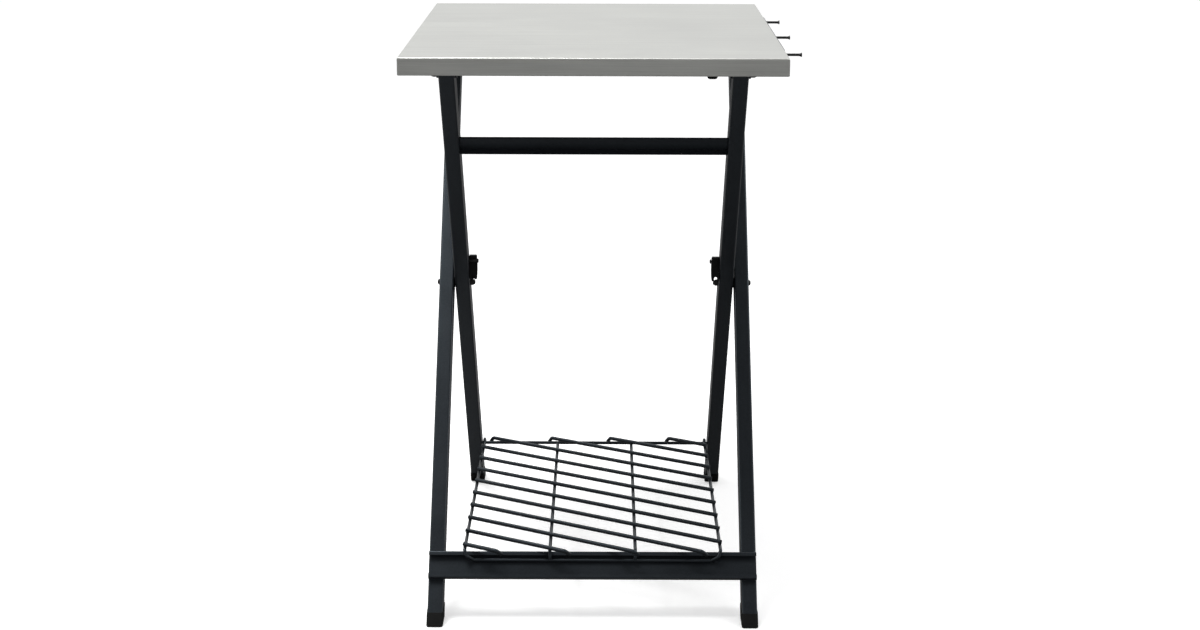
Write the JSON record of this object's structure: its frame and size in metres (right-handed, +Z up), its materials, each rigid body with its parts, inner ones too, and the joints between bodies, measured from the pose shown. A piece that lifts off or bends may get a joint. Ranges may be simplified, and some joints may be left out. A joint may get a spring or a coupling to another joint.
{
  "type": "folding side table",
  "caption": "Folding side table with a brushed sheet-metal top, crossed black leg frames, a low wire rack and a side rail of hook pegs",
  "frame": {"origin": "on the floor, under the middle of the tabletop", "axes": "+X to the table's right, where the hook rail is; +Y to the back; +Z up"},
  "size_m": [0.6326, 0.8, 0.929],
  "materials": {
    "top_sheet": "satin brushed stainless sheet",
    "powder_coat": "satin black powder coat",
    "rack_wire": "satin black powder coat on wire",
    "moulded_black": "fine-textured black moulding",
    "black_fasteners": "black-coated steel"
  },
  "bodies": {
    "outer_frame": {"outer_leg_left": "powder_coat", "outer_leg_right": "powder_coat", "front_foot_left": "moulded_black", "front_foot_right": "moulded_black", "outer_leg_plugs": "moulded_black", "front_channel": "powder_coat", "rear_cross_rod": "powder_coat", "pivot_bolts": "black_fasteners", "pivot_cap_nuts": "black_fasteners", "pivot_spacers": "moulded_black"},
    "inner_frame": {"inner_leg_left": "powder_coat", "inner_leg_right": "powder_coat", "rear_foot_left": "moulded_black", "rear_foot_right": "moulded_black", "inner_leg_plugs": "moulded_black", "upper_bar": "powder_coat", "rear_rod": "powder_coat", "pivot_bushes": "moulded_black", "hinge_bushes": "moulded_black", "clip_screws": "black_fasteners"},
    "tabletop": {"tabletop_panel": "top_sheet", "stiffener_left": "top_sheet", "stiffener_right": "top_sheet", "hinge_bracket_left": "powder_coat", "hinge_bracket_right": "powder_coat", "hinge_bolts": "black_fasteners", "hinge_nuts": "black_fasteners", "rod_saddle_left": "moulded_black", "rod_saddle_right": "moulded_black", "lever_bracket": "powder_coat", "lever_pin": "black_fasteners", "hook_rail": "powder_coat", "rail_rivets": "black_fasteners", "rail_spacers": "black_fasteners", "hook_peg_front": "black_fasteners", "hook_peg_middle": "black_fasteners", "hook_peg_rear": "black_fasteners"},
    "rack": {"rack_front_rod": "rack_wire", "rack_long_wire_left": "rack_wire", "rack_long_wire_right": "rack_wire", "rack_side_wire_left": "rack_wire", "rack_side_wire_right": "rack_wire", "rack_slat_01": "rack_wire", "rack_slat_02": "rack_wire", "rack_slat_03": "rack_wire", "rack_slat_04": "rack_wire", "rack_slat_05": "rack_wire", "rack_slat_06": "rack_wire", "rack_slat_07": "rack_wire", "rack_slat_08": "rack_wire", "rack_slat_09": "rack_wire", "rack_slat_10": "rack_wire", "rack_slat_11": "rack_wire", "rack_slat_12": "rack_wire", "rack_slat_13": "rack_wire"},
    "release_lever": {"release_lever": "moulded_black"},
    "clip_left": {"rack_clip_left": "moulded_black"},
    "clip_right": {"rack_clip_right": "moulded_black"}
  },
  "joints": [
    {"name": "scissor_fold", "type": "hinge", "parent": "outer_frame", "child": "inner_frame", "pos_m": [0, 0, 0.4844], "axis": [-1, 0, 0], "range_deg": [0, 72]},
    {"name": "top_hinge", "type": "hinge", "parent": "inner_frame", "child": "tabletop", "pos_m": [0, -0.32053, 0.898], "axis": [1, 0, 0], "range_deg": [0, 36]},
    {"name": "rack_swing", "type": "hinge", "parent": "outer_frame", "child": "rack", "pos_m": [0, -0.33389, 0.09274], "axis": [1, 0, 0], "range_deg": [0, 45.6]},
    {"name": "release_lever", "type": "hinge", "parent": "tabletop", "child": "release_lever", "pos_m": [0.185, -0.335, 0.917], "axis": [-1, 0, 0], "range_deg": [0, 45]},
    {"name": "clip_swing_left", "type": "hinge", "parent": "inner_frame", "child": "clip_left", "pos_m": [-0.209, -0.03553, 0.53024], "axis": [1, 0, 0], "range_deg": [-50, 36]},
    {"name": "clip_swing_right", "type": "hinge", "parent": "inner_frame", "child": "clip_right", "pos_m": [0.209, -0.03553, 0.53024], "axis": [1, 0, 0], "range_deg": [-50, 36]}
  ],
  "couplings": [
    {"joint": "top_hinge", "follows": "scissor_fold", "ratio": 0.5},
    {"joint": "rack_swing", "follows": "scissor_fold", "ratio": 0.632}
  ]
}
